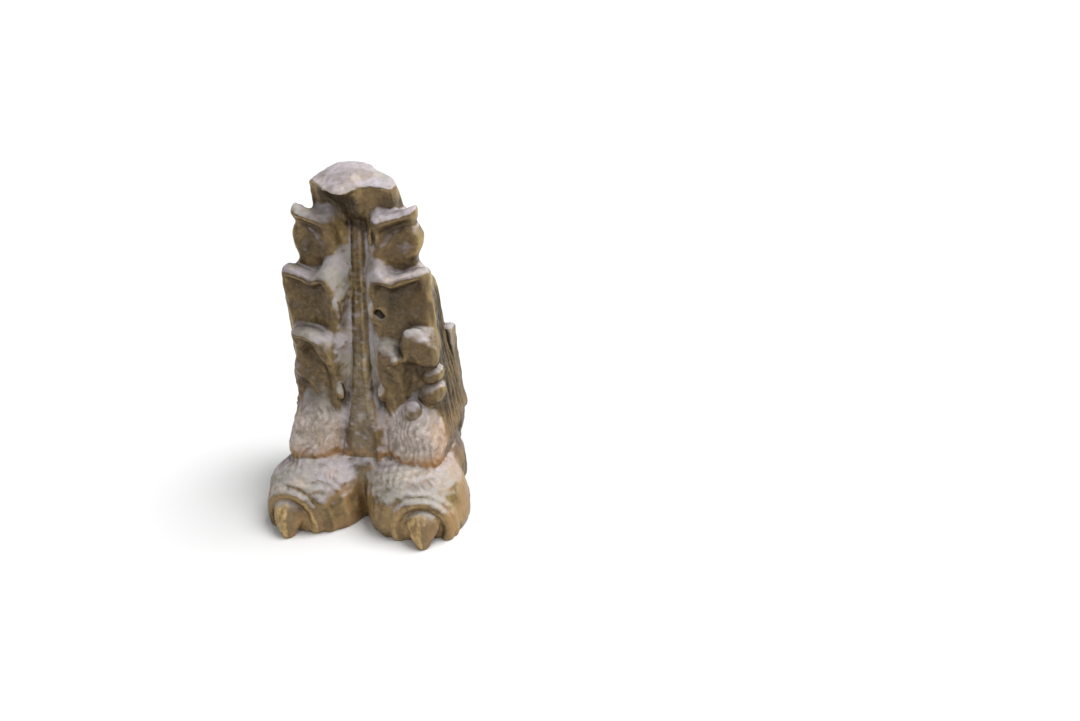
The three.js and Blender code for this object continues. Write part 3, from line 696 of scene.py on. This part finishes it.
def relief(points, normals, noise):
    """How far each point moves out along its normal, for hair, casting flaws and wear."""
    x, y, z = points.T
    ax = np.abs(x)
    broad = noise(points + 53, 17.0)
    wavy = noise(points, 9.0)
    fine = noise(points * [1, 1, 0.6], 4.0)
    out = (0.9 * noise(points + 31, 12.0) + 0.85 * noise(points + 7, 5.2)
           + 0.5 * noise(points + 91, 2.3))

    # hair of the tufts, in locks that wander as they fall
    on_tuft = (step01(z, 27, 31) * (1 - step01(z, 57, 66)) * (1 - step01(y, -8, 0))
               * step01(ax, 10.5, 13))
    on_tuft *= step01(ax - 11.5 - 0.9 * (z - 30) / 6, -1.5, 1.5)
    lock = ((ax - 29) * (1 + 0.010 * (z - 40)) + 10.0 * wavy + 8.0 * broad
            + 2.4 * np.sin(z / 7.0 + ax / 5.0))
    hair = 0.42 * comb(lock / 4.4) + 0.26 * comb(lock / 2.5 + 2 * fine) - 0.34
    out += on_tuft * hair * (0.8 + 1.6 * fine)

    # hair on top of the toes, in arcs round the inner side
    on_toe = ((1 - step01(z, 36, 42)) * step01(z, 20, 27) * (1 - step01(y, -16, -6))
              * step01(-y, 10, 22))
    swirl = np.hypot((ax - 17) * 0.6, (y + 22) * 0.9) + 3.2 * wavy
    hair = 0.6 * comb(swirl / 4.6) + 0.16 * comb(swirl / 2.6 + fine) - 0.36
    out += on_toe * hair * (0.75 + broad)

    # fur down the lower flanks
    on_flank = (step01(ax, 37, 41) * step01(z, 30, 38) * (1 - step01(z, 88, 104))
                * step01(y, -14, -4))
    strand = y + 1.5 * np.sin(z / 8.0) + 3.0 * wavy
    hair = 0.55 * comb(strand / 3.4) + 0.25 * comb(strand / 1.8 + fine) - 0.4
    out += on_flank * hair * (1 - step01(y, 21, 23))

    # furrows down the keel
    on_keel = (1 - step01(ax, 9, 12)) * step01(z, 36, 42) * (normals[:, 1] < -0.6)
    out += on_keel * 0.14 * comb((x * (1 + 1.4 * step01(-z, -84, -50)) + 1.8 * wavy) / 2.2)

    # the flat back and the sole stay nearly smooth
    flat = np.maximum(step01(y, 28.6, 29.6) * (normals[:, 1] > 0.7),
                      (1 - step01(z, 0.4, 1.2)) * (normals[:, 2] < -0.7))
    return out * (1 - 0.93 * flat)


# ---------------------------------------------------------------- the casting's mesh


def ridge_highlight(points, normals):
    """A painted highlight along the thin ridge down the keel."""
    x, _, z = points.T
    place = 0.62 * keel_half(z)
    ridge = bell(x - place) * (normals[:, 1] < -0.5)
    return 0.85 * ridge * step01(z, 50, 64) * (1 - step01(z, 160, 164))


def keel_valley(points, normals):
    """1 on the floor of the valley beside the keel."""
    x, _, z = points.T
    away = np.abs(x) - keel_half(z)
    valley = step01(away, 0.6, 2.2) * (1 - step01(away, 6.0, 10.0)) * step01(z, 44, 60)
    return valley * (1 - step01(z, 138, 160)) * (normals[:, 1] < -0.2)


def quad_mesh(name, points, quads, attributes):
    """A smooth mesh from points in mm, with one number per point for each attribute."""
    mesh = bpy.data.meshes.new(name)
    mesh.vertices.add(len(points))
    mesh.vertices.foreach_set("co", (points / 1000.0).astype(np.float32).ravel())
    mesh.loops.add(4 * len(quads))
    mesh.loops.foreach_set("vertex_index", quads.astype(np.int32).ravel())
    mesh.polygons.add(len(quads))
    mesh.polygons.foreach_set("loop_start", (4 * np.arange(len(quads))).astype(np.int32))
    mesh.update()
    mesh.validate()
    for key, values in attributes.items():
        layer = mesh.attributes.new(key, "FLOAT", "POINT")
        layer.data.foreach_set("value", values.astype(np.float32))
    mesh.shade_smooth()
    return mesh


def cast_foot():
    field = Field(FINE_STEP)
    points, quads = surface_net(field)
    for _ in range(2):
        points = field.onto_surface(points)
    normals = field.normals(points)
    sky = field.open_sky(points, normals, reaches=(3.0, 6.0, 11.0))
    near = field.open_sky(points, normals, reaches=(1.4, 2.4))
    under = field.shelter(points, normals, reaches=(4.0, 7.0, 11.0, 15.0))
    edge = np.maximum(field.sharpness(points, normals, reach=1.6),
                      field.sharpness(points, normals, reach=3.2))
    # the thin ridge down the keel gets a painted highlight, carried by the edge attribute into the
    # worn gold
    edge = np.maximum(edge, ridge_highlight(points, normals))

    lift = relief(points, normals, Noise(NOISE_SEED))
    points = points + normals * lift[:, None]
    points[:, 1] = np.minimum(points[:, 1], BACK)
    points[:, 2] = np.maximum(points[:, 2], 0.0)
    # the CAD box in mm, less a hundredth, holds every point
    points = np.clip(points, np.array(cad_low) * 1000 + 0.01, np.array(cad_high) * 1000 - 0.01)
    mesh = quad_mesh("claw_foot_bronze", points, quads, {
        "sky": sky, "near": near, "edge": edge, "grain": np.clip(0.5 + lift, 0, 1),
        "valley": keel_valley(points, normals), "under": under})
    foot = bpy.data.objects.new("claw_foot_bronze", mesh)
    bpy.context.collection.objects.link(foot)
    if 2 * len(quads) > MOST_TRIANGLES:
        thin = foot.modifiers.new("thin", "DECIMATE")
        thin.ratio = MOST_TRIANGLES / (2 * len(quads))
        bpy.context.view_layer.objects.active = foot
        foot.select_set(True)
        bpy.ops.object.modifier_apply(modifier=thin.name)
        foot.data.shade_smooth()
    return foot


# ---------------------------------------------------------------- bronze


def rgb(r, g, b):
    """A colour named as it looks on screen, 0 to 255."""
    def linear(c):
        c /= 255.0
        return c / 12.92 if c <= 0.04045 else ((c + 0.055) / 1.055) ** 2.4
    return (linear(r), linear(g), linear(b), 1.0)


METAL = (rgb(84, 68, 44), rgb(124, 100, 66))
WARM_METAL = (rgb(98, 80, 52), rgb(148, 122, 80))
KEEL_METAL = (rgb(116, 104, 82), rgb(150, 136, 112))
FLANK_METAL = (rgb(124, 106, 66), rgb(182, 156, 104))
WORN_METAL_AND_HIGHLIGHT = (rgb(150, 122, 80), rgb(192, 166, 122))
TIER_SHADE = (rgb(56, 43, 26), rgb(88, 68, 42))
CLAW_GOLD = (rgb(150, 120, 74), rgb(200, 170, 114))
CLAW_SHADED_FACET = rgb(116, 98, 72)
TOE_GOLD = rgb(158, 132, 92)
BLOOM_AND_SHEEN = (rgb(190, 183, 192), rgb(170, 168, 164))
WARM_BLOOM_AND_SHEEN = rgb(196, 180, 166)
FUR_BLOOM = (rgb(182, 166, 154), rgb(212, 198, 186))
PLATE_LIGHT = rgb(214, 202, 190)
DIRT_AND_SHADE = rgb(58, 47, 34)
LEDGE_SHADE = rgb(56, 45, 30)
FURROW = rgb(100, 84, 62)
DARK_GRAIN = rgb(48, 38, 28)
PALE_GRAIN = rgb(212, 188, 146)
STAIN_AND_FLANK_LIGHT = rgb(170, 126, 82)


class Nodes:
    """Short calls for building a shader."""

    def __init__(self, material):
        material.use_nodes = True
        self.tree = material.node_tree
        self.tree.nodes.clear()

    def add(self, kind, inputs=None, **settings):
        node = self.tree.nodes.new(kind)
        for key, value in settings.items():
            setattr(node, key, value)
        for key, value in (inputs or {}).items():
            self.put(node.inputs[key], value)
        return node

    def put(self, socket, value):
        if hasattr(value, "is_output"):
            self.tree.links.new(value, socket)
        else:
            socket.default_value = value

    def math(self, kind, a, b=0.0, clamp=False):
        node = self.add("ShaderNodeMath", operation=kind, use_clamp=clamp)
        self.put(node.inputs[0], a)
        self.put(node.inputs[1], b)
        return node.outputs[0]

    def plus(self, a, b):
        return self.math("ADD", a, b)

    def times(self, first, *others):
        for other in others:
            first = self.math("MULTIPLY", first, other)
        return first

    def most(self, a, b):
        return self.math("MAXIMUM", a, b)

    def size(self, a):
        return self.math("ABSOLUTE", a)

    def rest(self, a):
        """What is left of 1."""
        return self.math("SUBTRACT", 1.0, a)

    def wander(self, value, noise, middle, amount):
        """The value, with the noise's distance from its middle added amount times."""
        return self.plus(value, self.times(self.math("SUBTRACT", noise, middle), amount))

    def ramp(self, value, low, high, to_low=0.0, to_high=1.0):
        """A smooth step from to_low to to_high, as the value goes from low to high."""
        node = self.add("ShaderNodeMapRange", interpolation_type="SMOOTHSTEP")
        for i, v in enumerate((value, low, high, to_low, to_high)):
            self.put(node.inputs[i], v)
        return node.outputs[0]

    def mix(self, factor, a, b):
        node = self.add("ShaderNodeMix", data_type="RGBA")
        self.put(node.inputs[0], factor)
        self.put(node.inputs[6], a)
        self.put(node.inputs[7], b)
        return node.outputs[2]

    def shades(self, value, low, high, colours):
        """The first colour turning into the second, as the value goes from low to high."""
        return self.mix(self.ramp(value, low, high), *colours)

    def tint(self, colour, mask, amount, other):
        """The other colour over the first, where the mask is, at that amount."""
        return self.mix(self.times(mask, amount), colour, other)

    def noise(self, place, scale, detail, roughness=0.55, stretch=None):
        if stretch:
            place = self.add("ShaderNodeMapping", {"Vector": place, "Scale": stretch}).outputs[0]
        inputs = {"Vector": place, "Scale": scale, "Detail": detail, "Roughness": roughness}
        return self.add("ShaderNodeTexNoise", inputs).outputs[0]

    def attribute(self, name):
        node = self.add("ShaderNodeAttribute", attribute_name=name, attribute_type="GEOMETRY")
        return node.outputs["Fac"]


class Casting(Nodes):
    """A shader with the measures of the casting's skin at hand, lengths in metres."""

    def __init__(self, material):
        super().__init__(material)
        self.place = self.add("ShaderNodeTexCoord").outputs["Object"]
        normal = self.add("ShaderNodeNewGeometry").outputs["Normal"]
        facing = self.add("ShaderNodeSeparateXYZ", {"Vector": normal})
        # how far the skin faces right, back and up
        self.right, self.back, self.up = (facing.outputs[axis] for axis in "XYZ")
        where = self.add("ShaderNodeSeparateXYZ", {"Vector": self.place})
        self.depth, self.height = where.outputs["Y"], where.outputs["Z"]
        self.out = self.size(where.outputs["X"])
        # what cast_foot() measured at each point
        self.sky, self.near = self.attribute("sky"), self.attribute("near")
        self.edge, self.grain = self.attribute("edge"), self.attribute("grain")
        self.valley, self.under = self.attribute("valley"), self.attribute("under")
        self.broad = self.noise(self.place, 28.0, 3.0)
        self.patch = self.noise(self.place, 75.0, 5.0, 0.62)
        self.speck = self.noise(self.place, 330.0, 4.0, 0.65)
        self.streak = self.noise(self.place, 95.0, 4.0, 0.6, (1.0, 1.0, 0.25))


def metal(n):
    """Brown metal, paler down the keel, more olive on the flanks, golden where it is worn, and with
    a painted highlight down the keel's thin ridge.
    """
    warm = n.shades(n.speck, 0.4, 0.6, WARM_METAL)
    colour = n.mix(n.ramp(n.broad, 0.42, 0.62), n.shades(n.patch, 0.36, 0.66, METAL), warm)
    on_keel = n.times(n.ramp(n.out, 0.008, 0.004), n.ramp(n.height, 0.150, 0.040))
    colour = n.tint(colour, on_keel, 0.75, n.shades(n.patch, 0.4, 0.62, KEEL_METAL))
    flank = n.times(n.ramp(n.size(n.right), 0.35, 0.8), n.ramp(n.streak, 0.36, 0.6, 0.4, 1.0))
    colour = n.tint(colour, flank, 0.8, n.shades(n.streak, 0.4, 0.62, FLANK_METAL))
    # worn gold on sharp edges, and the painted highlight on the keel's ridge
    wear_and_highlight = n.wander(n.ramp(n.edge, 0.3, 0.8), n.speck, 0.55, 2.2)
    wear_and_highlight = n.times(n.math("ADD", wear_and_highlight, 0.0, clamp=True), n.ramp(n.near, 0.35, 0.8))
    return n.tint(colour, wear_and_highlight, 0.62, n.shades(n.patch, 0.4, 0.62, WORN_METAL_AND_HIGHLIGHT))


def bloom_and_sheen(n, colour):
    """Dusty bloom on what faces up, in the valleys and on the tufts' fur, with painted sky sheen on
    what faces up, and where it lies.
    """
    fur = n.times(n.ramp(n.height, 0.068, 0.052), n.ramp(n.height, 0.031, 0.042),
                  n.ramp(n.depth, -0.008, -0.016), n.ramp(n.out, 0.009, 0.014))
    # what faces up gets bloom and painted sky sheen; the valleys and the tufts' fur get bloom
    dust_and_sheen = n.wander(n.up, n.patch, 0.5, 0.55)
    dust_and_sheen = n.plus(dust_and_sheen, n.most(n.times(n.valley, 0.52), n.times(fur, 0.42)))
    dust_and_sheen = n.times(n.ramp(dust_and_sheen, 0.26, 0.66), n.ramp(n.speck, 0.3, 0.62, 0.8, 1.0))
    grey = n.shades(n.broad, 0.4, 0.62, BLOOM_AND_SHEEN)
    grey = n.mix(n.ramp(n.patch, 0.5, 0.74), grey, WARM_BLOOM_AND_SHEEN)
    grey = n.tint(grey, fur, 0.7, n.shades(n.speck, 0.4, 0.6, FUR_BLOOM))
    return n.tint(colour, dust_and_sheen, 0.88, grey), dust_and_sheen


def plate_light_dirt_and_shade(n, colour):
    """Painted light on the plate's pale front, dirt and painted shade in all other recesses, and
    painted shadow under ledges.
    """
    # painted light: the plate's front is painted pale, as light falling on it
    lit_plate = n.times(n.ramp(n.depth, 0.0212, 0.0222), n.ramp(n.back, -0.4, -0.8),
                     n.ramp(n.height, 0.055, 0.075))
    colour = n.tint(colour, lit_plate, 0.9, PLATE_LIGHT)
    # recesses get dirt and painted shade, where less of the sky is open
    recess = n.rest(n.ramp(n.wander(n.sky, n.patch, 0.5, 0.4), 0.18, 0.78))
    dirt_and_shade = n.times(recess, n.ramp(n.valley, 0.2, 0.7, 1.0, 0.15),
                   n.ramp(lit_plate, 0.3, 0.7, 1.0, 0.0), n.ramp(n.out, 0.0375, 0.0395, 0.75, 0.4))
    colour = n.mix(dirt_and_shade, colour, DIRT_AND_SHADE)
    # painted shadow under overhanging ledges, on what does not face up
    shade = n.ramp(n.wander(n.under, n.patch, 0.5, 0.3), 0.02, 0.6)
    return n.tint(colour, n.times(shade, n.ramp(n.up, 0.3, 0.6, 1.0, 0.0)), 0.9, LEDGE_SHADE)


def shaded_tiers(n, colour):
    """Painted shade on the fronts of the two lower tiers of leaves, which stay darkest."""
    middle = n.times(n.ramp(n.height, 0.104, 0.114), n.ramp(n.height, 0.139, 0.134))
    lower = n.times(n.ramp(n.height, 0.060, 0.070), n.ramp(n.height, 0.104, 0.100), 0.6)
    tier_shade = n.times(n.most(middle, lower), n.ramp(n.out, 0.011, 0.015),
                    n.ramp(n.back, -0.35, -0.75), n.ramp(n.edge, 0.7, 0.4))
    return n.tint(colour, tier_shade, 0.6, n.shades(n.patch, 0.38, 0.62, TIER_SHADE))


def cast_grain(n, colour):
    """Browner furrows, and fine mottling of the cast skin."""
    furrow = n.rest(n.ramp(n.grain, 0.1, 0.55))
    colour = n.tint(colour, furrow, 0.42, FURROW)
    mottling = n.ramp(n.noise(n.place, 520.0, 5.0, 0.7), 0.36, 0.64)
    return n.mix(mottling, n.mix(0.10, colour, DARK_GRAIN), n.mix(0.06, colour, PALE_GRAIN))


def claws_and_toes(n, colour):
    """Golden claws with painted shade on their right-facing facets, golden toe fronts, and an
    orange stain low on the tufts, which on the right flank is partly painted light.
    """
    claw = n.ramp(n.depth, -0.0535, -0.0500, 1.0, 0.0)
    # the claws' facets that face right get painted shade
    claw_gold_and_shade = n.mix(n.ramp(n.right, 0.05, 0.4), n.shades(n.speck, 0.4, 0.62, CLAW_GOLD), CLAW_SHADED_FACET)
    colour = n.mix(n.times(claw, n.ramp(n.speck, 0.3, 0.5, 0.6, 1.0)), colour, claw_gold_and_shade)
    toe = n.times(n.ramp(n.height, 0.030, 0.020), n.ramp(n.up, 0.55, 0.1),
                  n.ramp(n.depth, -0.012, -0.030))
    colour = n.mix(n.times(toe, n.ramp(n.patch, 0.35, 0.6, 0.1, 0.6)), colour, TOE_GOLD)
    rim = n.times(n.ramp(n.height, 0.027, 0.031), n.ramp(n.height, 0.036, 0.045, 1.0, 0.0),
                  n.ramp(n.depth, -0.018, -0.024), n.ramp(n.up, 0.5, 0.2))
    # on the right-facing flank the orange stain is partly painted light
    flank = n.times(n.ramp(n.right, 0.30, 0.75), n.ramp(n.height, 0.066, 0.040),
                    n.ramp(n.depth, 0.014, -0.012, 0.25, 1.0), 0.6)
    stain_and_flank_light = n.times(n.most(rim, flank), n.ramp(n.patch, 0.36, 0.6, 0.15, 1.0))
    return n.tint(colour, stain_and_flank_light, 0.75, STAIN_AND_FLANK_LIGHT)


def bronze():
    material = bpy.data.materials.new("aged_bronze")
    n = Casting(material)
    colour, dust_and_sheen = bloom_and_sheen(n, metal(n))
    for layer in (plate_light_dirt_and_shade, shaded_tiers, cast_grain, claws_and_toes):
        colour = layer(n, colour)
    bare = n.times(n.rest(dust_and_sheen), 0.55)
    rough = n.ramp(n.plus(n.patch, n.times(dust_and_sheen, 0.35)), 0.3, 0.95, 0.33, 0.70)
    bump = n.plus(n.times(n.speck, 0.5), n.times(n.patch, 0.8))
    bump = n.plus(bump, n.times(n.noise(n.place, 900.0, 3.0, 0.6), 0.22))
    skin = n.add("ShaderNodeBump", {"Height": bump, "Strength": 0.6, "Distance": 0.0010})
    shader = n.add("ShaderNodeBsdfPrincipled", {
        "Base Color": colour, "Metallic": bare, "Roughness": rough, "Normal": skin.outputs[0]})
    shader.inputs["IOR"].default_value = 1.5
    n.add("ShaderNodeOutputMaterial", {"Surface": shader.outputs[0]})
    return material


# ---------------------------------------------------------------- the scene

foot = cast_foot()
foot.data.materials.append(bronze())
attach(foot, "root")
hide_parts("claw_foot")


def studio_floor():
    mesh = bpy.data.meshes.new("floor")
    half = 8.0
    mesh.from_pydata([(-half, -half, 0), (half, -half, 0), (half, half, 0), (-half, half, 0)], [],
                     [(0, 1, 2, 3)])
    floor = bpy.data.objects.new("floor", mesh)
    bpy.context.collection.objects.link(floor)
    material = bpy.data.materials.new("pale_floor")
    n = Nodes(material)
    pale = (0.77, 0.77, 0.77, 1.0)
    shader = n.add("ShaderNodeBsdfPrincipled", {"Base Color": pale, "Roughness": 0.9})
    n.add("ShaderNodeOutputMaterial", {"Surface": shader.outputs[0]})
    mesh.materials.append(material)


def sky_light(name, towards, spread, strength):
    """An even soft light from far away, from the direction given."""
    light = bpy.data.lights.new(name, "SUN")
    light.energy = strength
    light.angle = math.radians(spread)
    lamp = bpy.data.objects.new(name, light)
    lamp.rotation_euler = Vector(towards).to_track_quat("Z", "Y").to_euler()
    bpy.context.collection.objects.link(lamp)


def white_surround(strength):
    """White behind the object for the camera, and a plain grey glow for everything else."""
    world = bpy.data.worlds.new("studio")
    bpy.context.scene.world = world
    n = Nodes(world)
    path = n.add("ShaderNodeLightPath")
    white = (1, 1, 1, 1)
    seen = n.add("ShaderNodeBackground", {"Color": white, "Strength": 1.0})
    glow = n.add("ShaderNodeBackground", {"Color": white, "Strength": strength})
    mix = n.add("ShaderNodeMixShader", {
        0: path.outputs["Is Camera Ray"], 1: glow.outputs[0], 2: seen.outputs[0]})
    n.add("ShaderNodeOutputWorld", {"Surface": mix.outputs[0]})


def view_camera():
    """The camera at the photograph's place: its spot, its view direction and its roll."""
    place = Vector((0.2437, -0.5279, 0.4071))
    forward = Vector((-0.2297, 0.8324, -0.5043)).normalized()
    right = Vector((0.9721, 0.2221, -0.0762)).normalized()
    above = right.cross(forward).normalized()
    right = forward.cross(above)
    data = bpy.data.cameras.new("camera")
    data.sensor_width = 36.0
    data.lens = 40.0
    camera = bpy.data.objects.new("camera", data)
    turn = Matrix((right, above, -forward)).transposed().to_4x4()
    camera.matrix_world = Matrix.Translation(place) @ turn
    bpy.context.collection.objects.link(camera)
    bpy.context.scene.camera = camera


bpy.context.scene.view_settings.view_transform = "Standard"
studio_floor()
white_surround(strength=0.36)
sky_light("key", towards=(0.46, 0.20, 0.88), spread=38, strength=3.6)
sky_light("fill", towards=(0.5, -0.7, 0.6), spread=60, strength=0.4)
view_camera()
